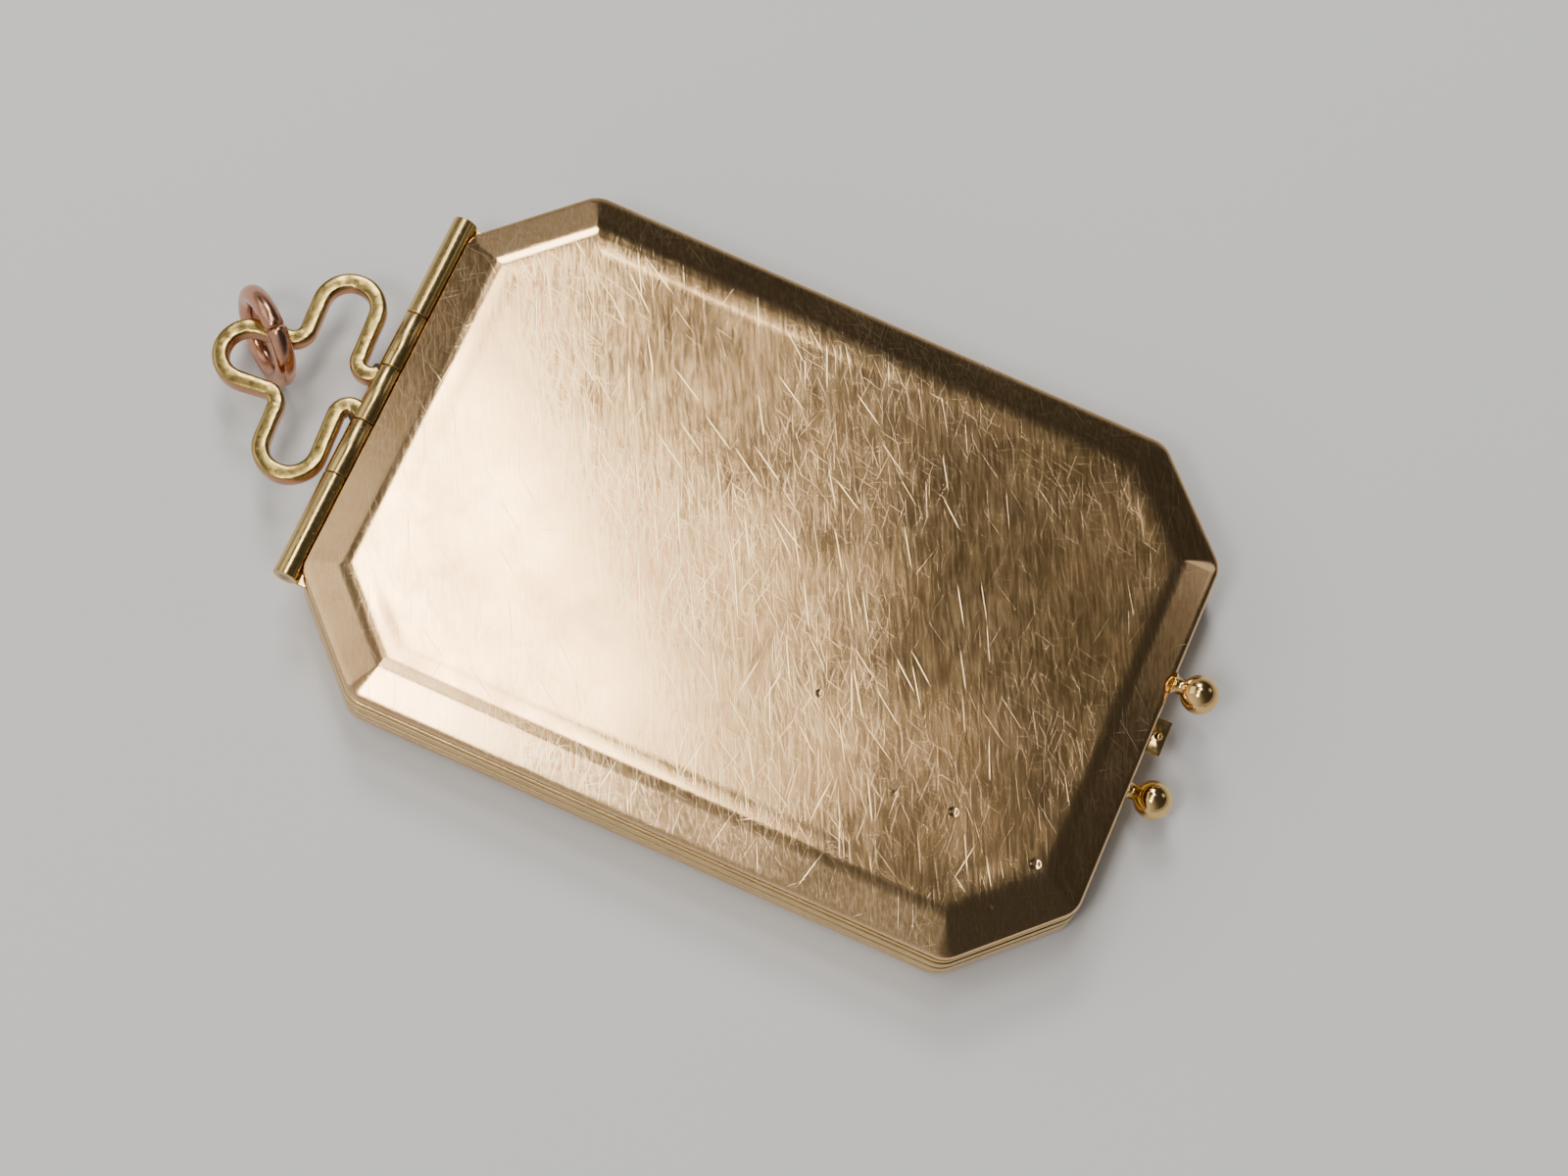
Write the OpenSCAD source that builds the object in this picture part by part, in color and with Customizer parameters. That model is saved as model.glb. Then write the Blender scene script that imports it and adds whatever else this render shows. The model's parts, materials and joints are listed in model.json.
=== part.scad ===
// Pendant powder compact. An eight-sided case with a bevelled cover and back, a reeded side band,
// a five-knuckle hinge, a trefoil wire bail with a jump ring, and two ball thumb pieces.
// Origin: centre of the back panel's flat face. +X runs to the catch, +Z out through the cover.

/* [Case] */
// Length of the closed case, from the hinge side to the catch side
case_l = 45; // [42:1:50]
// Width of the closed case
case_w = 32; // [29:1:36]
// How far each corner is cut off along both sides
corner_cut = 5.4; // [4.6:0.2:6.4]
// Rounding of the eight corners of the outline
corner_r = 1.6; // [1.2:0.1:2]
// Thickness of the rolled gold sheet
sheet = 0.4; // [0.3:0.05:0.4]

/* [Side profile] */
// Width of the bevel round both flat panels
bevel_w = 2.2; // [1.8:0.1:2.4]
// Height of the bevel
bevel_h = 0.85; // [0.7:0.05:1]
// Height of the back shell's upright edge
edge_h = 0.65; // [0.5:0.05:0.8]
// Height of the reeded band
band_h = 2.2; // [2:0.1:2.6]
// Wall thickness of the reeded band
band_wall = 1; // [0.9:0.05:1]
// Depth of the grooves between the reeds
groove_depth = 0.22; // [0.15:0.01:0.3]
// Height of the open seam between the band and the cover
seam_gap = 0.5; // [0.45:0.05:0.6]
// Height of the cover's upright lip
lip_h = 0.35; // [0.3:0.05:0.5]

/* [Hinge] */
// Outer radius of the hinge barrel
barrel_r = 0.7; // [0.65:0.01:0.72]
// Radius of the hinge pin
pin_r = 0.3; // [0.25:0.01:0.35]
// Length of each of the two end knuckles
end_knuckle_l = 6.3; // [5.8:0.1:6.6]
// Length of each of the two knuckles on the cover
cover_knuckle_l = 3.35; // [3:0.05:3.6]
// Length of the centre knuckle, which carries the bail
centre_knuckle_l = 3.5; // [3.4:0.1:4]
// How far the hinge axis lies outside the case wall
hinge_out = 0.5; // [0.45:0.01:0.55]

/* [Bail and ring] */
// Width of the bail wire
bail_wire = 0.95; // [0.8:0.05:1]
// Thickness of the bail wire
bail_t = 1; // [0.8:0.05:1]
// Radius of the two side lobes, to the middle of the wire
lobe_r = 1.6; // [1.5:0.05:1.7]
// Radius of the top loop, to the middle of the wire
loop_r = 1.6; // [1.55:0.05:1.7]
// Sideways lean of the bail, in degrees
bail_lean = 4; // [0:1:5]
// Droop of the bail towards the back, in degrees
bail_droop = 5; // [4:1:6]
// Outer diameter of the jump ring
ring_d = 5.9; // [5.7:0.1:6.1]
// Diameter of the jump ring's wire
ring_wire = 1.15; // [1:0.05:1.2]

/* [Catch] */
// Diameter of the ball thumb pieces
ball_d = 2.15; // [1.8:0.05:2.4]
// Distance between the two ball centres
ball_pitch = 5.8; // [5.4:0.1:6.4]
// Sideways shift of the catch and the balls
catch_shift = 0.4; // [0:0.1:0.6]
// Width of the catch tongue
tongue_w = 2.1; // [1.6:0.1:2.4]

/* [Inside] */
// Thickness of the mirror glass
mirror_t = 0.6; // [0.5:0.05:0.6]
// Depth of the pressed powder
cake_t = 1.4; // [1.2:0.05:1.45]
// Thickness of the puff
puff_t = 1.3; // [1:0.05:1.35]

/* [Hidden] */

gold = [0.83, 0.64, 0.36];
rose = [0.80, 0.58, 0.44];
slack = 0.01;
arc_steps = 4;
smallest_r = 0.3;
lip_bend = 0.2;
inner_fold = bevel_w + 0.15;
groove_inset = 0.06;

// Levels along Z
band_z = bevel_h + edge_h;
seam_z = band_z + band_h;
lip_z = seam_z + seam_gap;
cover_top = lip_z + lip_h + bevel_h;
ceiling_z = cover_top - sheet;

// Hinge
hinge_x = -case_l / 2 - hinge_out;
hinge_z = lip_z - 0.05;
running = 0.03;
channel_r = barrel_r + 0.08;
barrel_l = 2 * end_knuckle_l + 2 * cover_knuckle_l + centre_knuckle_l;
knuckle_gap = 0.04;
leaf_t = 0.2;
leaf_l = 1.3;

// Insets of the inner pieces from the outline
skirt_inset = band_wall + 0.15;
skirt_t = 0.35;
pan_inset = 2.5;
pan_t = 0.25;
pan_flange_inset = band_wall + 0.1;
pan_z = sheet + 0.05;
cake_z = pan_z + pan_t;
pan_rim_z = cake_z + cake_t + 0.15;
frame_t = 0.3;
frame_overlap = 0.5;
puff_inset = 3.9;
puff_z = cake_z + cake_t + 0.05;
skirt_z = seam_z - 0.4;
bezel_z = seam_z - 0.2;
bezel_t = 0.25;
bezel_w = 0.7;
mirror_z = bezel_z + bezel_t;
card_z = mirror_z + mirror_t;
card_inset = bevel_w + 0.2;
lining_inset = sheet + 0.05;

// Bail centreline, with u measured away from the hinge axis and v across it
foot_r = 0.75;
foot_u = 0.95;
foot_v = 1.75;
foot_start = 215;
lobe_u = foot_u + foot_r + lobe_r;
lobe_v = 4.3;
neck_r = 0.85;
neck_u = lobe_u + lobe_r + neck_r;
loop_u = neck_u + loop_r;
bail_step = 15;
leg_round = 0.1;

// Jump ring, threaded on one leg of the bail's top loop and standing on its edge
ring_mid_r = (ring_d - ring_wire) / 2;
ring_turn = 50;
ring_lean = 7;
ring_split = 2;
split_at = 160;
leg_share = 0.8;
leg_u = neck_u + leg_share * loop_r;
ring_x = hinge_x - leg_u * cos(bail_lean) - loop_r * sin(bail_lean);
ring_y = loop_r * cos(bail_lean) - leg_u * sin(bail_lean);
ring_z = ring_mid_r * cos(ring_lean) + ring_wire / 2;

// Catch and thumb balls
ball_out = 1.55;
stem_r = 0.45;
cover_ball_z = lip_z + 0.3;
base_ball_z = band_z + 0.85;
tongue_t = 0.15;
tongue_out = 0.85;
pip_r = 0.22;
keeper_out = 0.1;
keeper_h = 0.2;

// Distance of side k of the eight-sided outline from the centre
function reach(k, inset) =
    (k % 2 == 1 ? (case_l / 2 + case_w / 2 - corner_cut) / sqrt(2)
     : k % 4 == 0 ? case_l / 2 : case_w / 2) - inset;

// Corner between side k and the next one
function corner(k, inset) =
    let (along = (reach(k + 1, inset) - reach(k, inset) * cos(45)) / sin(45))
    reach(k, inset) * [cos(45 * k), sin(45 * k)] + along * [-sin(45 * k), cos(45 * k)];

// The outline, set in by a distance, with rounded corners
function outline(inset) =
    let (r = max(corner_r - inset, smallest_r))
    [for (k = [0:7], j = [0:arc_steps])
        let (middle = 45 * k + 22.5, a = 45 * (k + j / arc_steps))
        corner(k, inset) - r / cos(22.5) * [cos(middle), sin(middle)] + r * [cos(a), sin(a)]];

// A flat plate of the outline between two heights
module slab(inset, low, high) {
    translate([0, 0, low]) linear_extrude(high - low) polygon(outline(inset));
}

// A closed hoop between two insets
module hoop(outer, inner, low, high) {
    difference() {
        slab(outer, low, high);
        slab(inner, low - slack, high + slack);
    }
}

// A solid through a list of [height, inset] levels
module loft(levels) {
    n = len(outline(0));
    points = [for (level = levels) each [for (p = outline(level[1])) [p[0], p[1], level[0]]]];
    sides = [for (i = [0:len(levels) - 2], j = [0:n - 1])
        [i * n + j, (i + 1) * n + j, (i + 1) * n + (j + 1) % n, i * n + (j + 1) % n]];
    bottom = [[for (j = [0:n - 1]) j]];
    top = [[for (j = [n - 1:-1:0]) (len(levels) - 1) * n + j]];
    polyhedron(points, concat(sides, bottom, top));
}

// A rod along Y on the hinge axis
module axis_rod(r, from, to) {
    translate([hinge_x, to, hinge_z]) rotate([90, 0, 0]) cylinder(h = to - from, r = r, $fn = 48);
}

// One hinge knuckle with its leaf, which lies against the body at leaf_z
module knuckle(from, to, leaf_z) {
    difference() {
        union() {
            axis_rod(barrel_r, from, to);
            translate([hinge_x, from, leaf_z]) cube([leaf_l, to - from, leaf_t]);
        }
        axis_rod(pin_r + running, from - slack, to + slack);
    }
}

// A ball on a short stem that meets the case wall
module thumb_ball(y, z) {
    wall = case_l / 2;
    translate([wall + ball_out, y, z]) sphere(d = ball_d, $fn = 48);
    translate([wall, y, z]) rotate([0, 90, 0]) cylinder(h = ball_out, r = stem_r, $fn = 32);
}

// Points of an arc as [point, left normal]; turn is 1 anticlockwise and -1 clockwise
function arc(centre, r, from, to, turn) =
    let (steps = ceil(abs(to - from) / bail_step))
    [for (i = [0:steps])
        let (a = from + (to - from) * i / steps, d = [cos(a), sin(a)])
        [centre + r * d, -turn * d]];

bail_half = concat(
    arc([foot_u, foot_v], foot_r, foot_start, 360, 1),
    arc([lobe_u, lobe_v], lobe_r, 180, 0, -1),
    arc([neck_u, loop_r + neck_r], neck_r, 180, 270, 1),
    arc([loop_u, 0], loop_r, 90, 0, -1));
bail_path = concat(bail_half,
    [for (i = [len(bail_half) - 2:-1:0])
        let (p = bail_half[i]) [[p[0][0], -p[0][1]], [p[1][0], -p[1][1]]]]);

module back_shell() color(rose) difference() {
    loft([[0, bevel_w], [bevel_h, 0], [band_z, 0]]);
    loft([[sheet, inner_fold], [bevel_h + lip_bend, sheet], [band_z + slack, sheet]]);
}

// Heights in the band, as shares of its height, and the inset of each stretch
reeds = [[0, 0.05, groove_depth], [0.05, 0.32, 0], [0.32, 0.45, groove_depth],
         [0.45, 0.77, 0], [0.77, 0.83, groove_depth], [0.83, 1, groove_inset]];

module side_band() color(gold) difference() {
    for (reed = reeds) hoop(reed[2], band_wall, band_z + reed[0] * band_h, band_z + reed[1] * band_h);
    axis_rod(channel_r, -case_w, case_w);
}

module end_knuckle_right() color(gold)
    knuckle(barrel_l / 2 - end_knuckle_l + knuckle_gap, barrel_l / 2, seam_z);

module end_knuckle_left() color(gold)
    knuckle(-barrel_l / 2, end_knuckle_l - barrel_l / 2 - knuckle_gap, seam_z);

module centre_knuckle() color(gold)
    knuckle(knuckle_gap - centre_knuckle_l / 2, centre_knuckle_l / 2 - knuckle_gap, seam_z);

module hinge_pin() color(gold) axis_rod(pin_r, -barrel_l / 2, barrel_l / 2);

// The bail in its own plane; both legs of the top loop are round, and a ring swings on one
module bail_in_plane() {
    leg_l = loop_u - neck_u - 2 * leg_round;
    difference() {
        translate([0, 0, -bail_t / 2]) linear_extrude(bail_t)
            polygon(concat([for (p = bail_path) p[0] - p[1] * bail_wire / 2],
                           [for (i = [len(bail_path) - 1:-1:0])
                               let (p = bail_path[i]) p[0] + p[1] * bail_wire / 2]));
        for (side = [-1, 1]) translate([neck_u + leg_round, side * loop_r - bail_wire, -bail_t])
            cube([leg_l, 2 * bail_wire, 2 * bail_t]);
    }
    for (side = [-1, 1]) translate([neck_u + leg_round, side * loop_r, 0]) rotate([0, 90, 0])
        cylinder(h = leg_l, r = bail_wire / 2, $fn = 48);
}

module bail() color(gold) difference() {
    translate([hinge_x, 0, hinge_z]) rotate([0, 0, 180 + bail_lean]) rotate([0, bail_droop, 0])
        bail_in_plane();
    axis_rod(barrel_r, -case_w, case_w);
}

module base_ball() color(gold) thumb_ball(catch_shift - ball_pitch / 2, base_ball_z);

module catch_tongue() color(gold) {
    wall = case_l / 2;
    translate([wall - band_wall, catch_shift - tongue_w / 2, seam_z])
        cube([band_wall + tongue_out, tongue_w, tongue_t]);
    translate([wall + tongue_out / 2, catch_shift, seam_z + tongue_t]) sphere(r = pip_r, $fn = 32);
}

module powder_pan() color("silver") difference() {
    union() {
        slab(pan_inset, pan_z, pan_rim_z);
        slab(pan_flange_inset, pan_rim_z - pan_t, pan_rim_z);
    }
    slab(pan_inset + pan_t, cake_z, pan_rim_z + slack);
}

module powder_cake() color([0.86, 0.70, 0.60]) slab(pan_inset + pan_t, cake_z, cake_z + cake_t);

module pan_frame() color(gold) hoop(band_wall, pan_inset + frame_overlap, pan_rim_z, pan_rim_z + frame_t);

module powder_puff() color([0.93, 0.82, 0.78]) slab(puff_inset, puff_z, puff_z + puff_t);

module cover_shell() color(rose) difference() {
    loft([[lip_z, 0], [lip_z + lip_h, 0], [cover_top, bevel_w]]);
    loft([[lip_z - slack, sheet], [lip_z + lip_h - lip_bend, sheet], [ceiling_z, inner_fold]]);
    axis_rod(channel_r, -case_w, case_w);
}

module cover_knuckles() color(gold)
    for (side = [-1, 1]) {
        middle = side * (centre_knuckle_l + cover_knuckle_l) / 2;
        knuckle(middle - cover_knuckle_l / 2, middle + cover_knuckle_l / 2, lip_z - leaf_t);
    }

module cover_lining() color(gold) {
    hoop(lining_inset, skirt_inset + skirt_t, lip_z, lip_z + lip_h - lip_bend);
    hoop(skirt_inset, skirt_inset + skirt_t, skirt_z, lip_z);
}

module mirror_glass() color("lightblue") slab(skirt_inset + skirt_t, mirror_z, card_z);

module mirror_card() color("dimgray") slab(card_inset, card_z, ceiling_z);

module mirror_bezel() color(gold)
    hoop(skirt_inset + skirt_t, skirt_inset + skirt_t + bezel_w, bezel_z, mirror_z);

module cover_ball() color(gold) thumb_ball(catch_shift + ball_pitch / 2, cover_ball_z);

module catch_keeper() color(gold)
    translate([case_l / 2 - skirt_inset, catch_shift - tongue_w / 2, skirt_z + keeper_out])
        cube([keeper_out, tongue_w, keeper_h]);

module jump_ring() color([0.78, 0.50, 0.36])
    translate([ring_x, ring_y, ring_z]) rotate([0, 0, ring_turn]) rotate([0, 90 + ring_lean, 0])
        rotate([0, 0, split_at]) rotate_extrude(angle = 360 - ring_split, $fn = 64)
            translate([ring_mid_r, 0]) circle(d = ring_wire, $fn = 32);

back_shell();
side_band();
end_knuckle_right();
end_knuckle_left();
centre_knuckle();
hinge_pin();
bail();
base_ball();
catch_tongue();
powder_pan();
powder_cake();
pan_frame();
powder_puff();
cover_shell();
cover_knuckles();
cover_lining();
mirror_glass();
mirror_card();
mirror_bezel();
cover_ball();
catch_keeper();
jump_ring();
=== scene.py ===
import json
import math

import bmesh
import bpy
from mathutils import Euler, Matrix, Vector, noise


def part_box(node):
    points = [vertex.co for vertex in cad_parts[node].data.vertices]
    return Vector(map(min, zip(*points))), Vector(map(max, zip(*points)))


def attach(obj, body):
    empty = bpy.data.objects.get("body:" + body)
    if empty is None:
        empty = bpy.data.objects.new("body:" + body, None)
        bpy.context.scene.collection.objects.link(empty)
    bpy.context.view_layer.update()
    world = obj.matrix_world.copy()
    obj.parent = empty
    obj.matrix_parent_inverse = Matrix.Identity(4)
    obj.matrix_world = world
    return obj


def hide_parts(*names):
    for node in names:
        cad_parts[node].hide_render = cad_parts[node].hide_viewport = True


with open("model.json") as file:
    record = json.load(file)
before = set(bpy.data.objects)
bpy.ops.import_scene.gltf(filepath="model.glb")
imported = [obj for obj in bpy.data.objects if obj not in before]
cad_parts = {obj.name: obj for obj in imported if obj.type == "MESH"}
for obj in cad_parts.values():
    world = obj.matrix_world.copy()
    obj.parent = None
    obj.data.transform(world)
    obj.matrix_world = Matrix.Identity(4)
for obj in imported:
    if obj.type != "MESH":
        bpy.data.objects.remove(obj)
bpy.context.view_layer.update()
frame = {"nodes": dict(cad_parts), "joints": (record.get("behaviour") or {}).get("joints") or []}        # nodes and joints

MM = 0.001

# Driving sizes of the case, in millimetres, as in the CAD model
CORNER_CUT = 5.4
CORNER_R = 1.6
BEVEL_W = 2.2
BEVEL_H = 0.85
SHEET = 0.4
BAND_WALL = 1.0
GROOVE = 0.22
BARREL_R = 0.7
CHANNEL_R = 0.78
BORE_R = 0.33
LEAF_T = 0.2
LEAF_L = 1.3
BAIL_W = 0.95
BAIL_T = 1.0
BAIL_LEAN = 4.0
BAIL_DROOP = 5.0
RING_WIRE = 1.15
RING_TURN = 50.0
RING_LEAN = 7.0
SPLIT_AT = 74.0
SPLIT_GAP = 1.6
SPLIT_OFFSET = 0.06
BALL_R = 1.075
BALL_OUT = 1.55
STEM_R = 0.45


def box_mm(node):
    """Lowest and highest corner of a CAD node, in millimetres."""
    low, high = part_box(node)
    return low / MM, high / MM


back_low, back_high = box_mm("back_shell")
cover_low, cover_high = box_mm("cover_shell")
HALF_L, HALF_W = back_high.x, back_high.y
BAND_Z, SEAM_Z = box_mm("side_band")[0].z, box_mm("side_band")[1].z
LIP_Z, TOP_Z = cover_low.z, cover_high.z
joint_at = {joint["name"]: Vector(joint["pos_m"]) / MM for joint in frame["joints"]}
HINGE_X, HINGE_Z = joint_at["cover_hinge"].x, joint_at["cover_hinge"].z


# ---------------------------------------------------------------- camera

def make_camera():
    """A camera above the case and a little towards its lower long side."""
    data = bpy.data.cameras.new("camera")
    data.lens = 87.1
    data.sensor_width = 36.0
    data.clip_start = 0.01
    camera = bpy.data.objects.new("camera", data)
    camera.location = Vector((10.0, -68.5, 196.1)) * MM
    camera.rotation_euler = Euler([math.radians(a) for a in (18.84, -5.63, 23.324)])
    bpy.context.scene.collection.objects.link(camera)
    bpy.context.scene.camera = camera


# ---------------------------------------------------------------- node helpers

class Shader:
    """A material's node tree with short calls for adding and joining nodes."""

    def __init__(self, name):
        self.material = bpy.data.materials.new(name)
        self.material.use_nodes = True
        self.tree = self.material.node_tree
        self.surface = self.tree.nodes["Principled BSDF"]
        self.place = self.add("ShaderNodeTexCoord").outputs["Object"]

    def add(self, kind, inputs=None, **settings):
        """A node with its settings, and its inputs set to values or joined to sockets."""
        node = self.tree.nodes.new(kind)
        for key, value in settings.items():
            setattr(node, key, value)
        for key, value in (inputs or {}).items():
            self.put(node.inputs[key], value)
        return node

    def put(self, socket, value):
        if isinstance(value, bpy.types.NodeSocket):
            self.tree.links.new(value, socket)
        else:
            socket.default_value = value

    def set(self, **values):
        for key, value in values.items():
            self.put(self.surface.inputs[key.replace("_", " ")], value)

    def stretch(self, scale, turn=0.0, shift=0.0):
        """The place turned about Z by some degrees, then scaled to a count per millimetre."""
        turned = self.add("ShaderNodeMapping", {
            "Vector": self.place, "Rotation": (0.0, 0.0, math.radians(turn))})
        return self.add("ShaderNodeMapping", {
            "Vector": turned.outputs[0], "Location": (shift, shift, shift),
            "Scale": [s / MM for s in scale]}).outputs[0]

    def noise(self, vector, scale, detail, rough=0.5):
        return self.add("ShaderNodeTexNoise", {
            "Vector": vector, "Scale": scale, "Detail": detail,
            "Roughness": rough}).outputs["Fac"]

    def math(self, operation, a, b=0.0):
        node = self.add("ShaderNodeMath", operation=operation)
        self.put(node.inputs[0], a)
        self.put(node.inputs[1], b)
        return node.outputs[0]

    def span(self, value, low, high, to_low=0.0, to_high=1.0):
        """The value carried smoothly from low..high to to_low..to_high."""
        return self.add("ShaderNodeMapRange", {
            "Value": value, "From Min": low, "From Max": high,
            "To Min": to_low, "To Max": to_high}, interpolation_type="SMOOTHSTEP").outputs[0]

    def mix(self, fac, a, b):
        node = self.add("ShaderNodeMix", data_type="RGBA")
        self.put(node.inputs[0], fac)
        self.put(node.inputs[6], a)
        self.put(node.inputs[7], b)
        return node.outputs[2]

    def bump(self, height, strength, distance, normal=None):
        inputs = {"Height": height, "Strength": strength, "Distance": distance * MM}
        if normal is not None:
            inputs["Normal"] = normal
        return self.add("ShaderNodeBump", inputs).outputs[0]

    def scratches(self, turn, along, across, half_width, share, fan, shift):
        """Straight scratches, at most one to each cell of a stretched pattern.

        The cell is along by across millimetres, share is how many cells have a scratch,
        and fan is how far each one may turn from the shared direction.
        """
        vector = self.stretch((1.0 / along, 1.0 / across, 1.0), turn, shift)
        cells = self.add("ShaderNodeTexVoronoi", {"Vector": vector, "Scale": 1.0},
                         voronoi_dimensions="2D")
        offset = self.add("ShaderNodeVectorMath", {0: vector, 1: cells.outputs["Position"]},
                          operation="SUBTRACT").outputs[0]
        offset = self.add("ShaderNodeSeparateXYZ", {"Vector": offset}).outputs
        chance = self.add("ShaderNodeSeparateColor", {"Color": cells.outputs["Color"]}).outputs
        slope = self.math("MULTIPLY", self.math("SUBTRACT", chance[0], 0.5),
                          2.0 * fan * along / across)
        away = self.math("SUBTRACT", offset[1], self.math("MULTIPLY", offset[0], slope))
        line = self.span(self.math("ABSOLUTE", away), 0.0, half_width / across, 1.0, 0.0)
        length = self.span(self.math("ABSOLUTE", offset[0]), 0.15, 0.48, 1.0, 0.0)
        present = self.math("LESS_THAN", chance[1], share)
        depth = self.span(chance[2], 0.0, 1.0, 0.35, 1.0)
        return self.math("MULTIPLY", self.math("MULTIPLY", line, length),
                         self.math("MULTIPLY", present, depth))


def rgb(red, green, blue):
    return (red, green, blue, 1.0)


def greatest(shader, values):
    """The largest of several socket values."""
    result = values[0]
    for value in values[1:]:
        result = shader.math("MAXIMUM", result, value)
    return result


# ---------------------------------------------------------------- materials

# Scratch families: turn in degrees, cell length and width in mm, half width of a line in mm,
# share of cells with a line, and fan
FINE_SCRATCHES = [
    (66.0, 2.4, 0.40, 0.021, 0.95, 0.07), (48.0, 2.0, 0.42, 0.020, 0.90, 0.08),
    (86.0, 2.6, 0.46, 0.020, 0.85, 0.07), (12.0, 2.2, 0.48, 0.018, 0.80, 0.08),
    (-28.0, 1.8, 0.52, 0.018, 0.75, 0.10)]
DEEP_SCRATCHES = [
    (62.0, 3.8, 1.2, 0.024, 0.60, 0.09), (36.0, 3.2, 1.5, 0.022, 0.50, 0.10),
    (98.0, 3.0, 1.6, 0.022, 0.45, 0.11), (-38.0, 2.8, 2.0, 0.021, 0.40, 0.14)]

# Small pits in the cover's flat panel: x, y and radius in mm
PITS = [(14.4, -8.6, 0.30), (19.4, -9.4, 0.34), (18.2, -12.6, 0.30), (8.4, -15.0, 0.26),
        (5.4, -5.6, 0.24), (11.2, -9.0, 0.20)]


def rolled_gold(name, fresh, worn, brown, rough):
    """Rolled gold under an even patina, with bright scratches, brown stains and tiny dings."""
    s = Shader(name)
    fine = greatest(s, [s.scratches(*family, 2.3 * i) for i, family in enumerate(FINE_SCRATCHES)])
    deep = greatest(s, [s.scratches(*family, 31.0 + 2.3 * i)
                        for i, family in enumerate(DEEP_SCRATCHES)])
    scuffed = s.noise(s.stretch((0.12, 0.12, 0.12), 0.0, 14.0), 1.0, 3.0, 0.6)
    fine = s.math("MULTIPLY", fine, s.span(scuffed, 0.35, 0.62, 0.25, 1.0))
    cloud = s.noise(s.stretch((0.09, 0.09, 0.09), 20.0, 5.0), 1.0, 6.0, 0.65)
    haze = s.noise(s.stretch((0.7, 7.0, 7.0), 64.0, 17.0), 1.0, 3.0, 0.6)
    grain = s.noise(s.stretch((9.0, 9.0, 9.0)), 1.0, 4.0, 0.75)
    spots = s.noise(s.stretch((0.9, 0.9, 0.9), 0.0, 9.0), 1.0, 5.0, 0.75)
    spots = s.span(spots, 0.68, 0.74)
    stain = s.math("MAXIMUM", s.span(cloud, 0.44, 0.74, 0.0, 0.6), s.math("MULTIPLY", spots, 0.85))
    colour = s.mix(stain, rgb(*worn), rgb(*brown))
    colour = s.mix(s.span(haze, 0.35, 0.75, 0.0, 0.25), colour, rgb(*fresh))
    colour = s.mix(s.span(grain, 0.55, 0.75, 0.0, 0.45), colour, rgb(*brown))
    colour = s.mix(s.math("MULTIPLY", fine, 0.75), colour, rgb(*fresh))
    colour = s.mix(s.math("MULTIPLY", deep, 0.75), colour, rgb(*fresh))
    dull = s.span(cloud, 0.3, 0.75, rough - 0.03, rough + 0.06)
    dull = s.math("ADD", dull, s.span(haze, 0.3, 0.7, -0.02, 0.03))
    dull = s.math("ADD", dull, s.math("MULTIPLY", s.math("MAXIMUM", fine, spots), 0.10))
    pits = greatest(s, [s.span(s.add("ShaderNodeVectorMath", {
        0: s.place, 1: (x * MM, y * MM, TOP_Z * MM)}, operation="DISTANCE").outputs["Value"],
        radius * 0.3 * MM, radius * MM, 1.0, 0.0) for x, y, radius in PITS])
    normal = s.bump(pits, 0.8, -0.08)
    normal = s.bump(haze, 0.08, 0.004, normal)
    normal = s.bump(fine, 0.20, -0.003, normal)
    normal = s.bump(deep, 0.25, -0.006, normal)
    s.set(Base_Color=colour, Metallic=1.0, Roughness=dull, Normal=normal)
    return s.material


def worn_metal(name, bright, dark, rough, dirt=0.5, grooves=()):
    """Satin metal with a fine grain, patina in patches and pits, and painted shade in creases and any
    grooves.

    Each groove is a (low, high) stretch of height in millimetres.
    """
    s = Shader(name)
    cloud = s.noise(s.stretch((0.35, 0.35, 0.35), 0.0, 1.0), 1.0, 6.0, 0.7)
    grain = s.noise(s.stretch((4.0, 4.0, 4.0), 0.0, 7.0), 1.0, 4.0, 0.65)
    pits = s.span(s.noise(s.stretch((2.2, 2.2, 2.2), 0.0, 11.0), 1.0, 3.0, 0.6), 0.67, 0.76)
    # Painted shade: darker where the surface folds inward, found from its pointiness.
    painted_crease_shade = s.span(s.add("ShaderNodeNewGeometry").outputs["Pointiness"], 0.42, 0.50, 1.0, 0.0)
    tarnish_and_shade = s.math("MAXIMUM", s.span(cloud, 0.40, 0.72, 0.0, dirt),
                     s.math("MULTIPLY", s.math("MAXIMUM", pits, painted_crease_shade), 0.75))
    height = s.add("ShaderNodeSeparateXYZ", {"Vector": s.stretch((1.0, 1.0, 1.0))}).outputs["Z"]
    # Painted shade: each groove, and the seam, is darkened almost to the dark colour.
    for low, high in grooves:
        painted_groove_shade = s.math("MULTIPLY", s.span(height, low - 0.05, low + 0.03),
                      s.span(height, high - 0.03, high + 0.05, 1.0, 0.0))
        tarnish_and_shade = s.math("MAXIMUM", tarnish_and_shade, s.math("MULTIPLY", painted_groove_shade, 0.97))
    s.set(Base_Color=s.mix(tarnish_and_shade, rgb(*bright), rgb(*dark)), Metallic=1.0,
          Roughness=s.math("ADD", s.math("MULTIPLY", tarnish_and_shade, 0.18),
                           s.span(grain, 0.3, 0.7, rough - 0.03, rough + 0.05)),
          Normal=s.bump(pits, 0.3, -0.015, s.bump(grain, 0.14, 0.012)))
    return s.material


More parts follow.
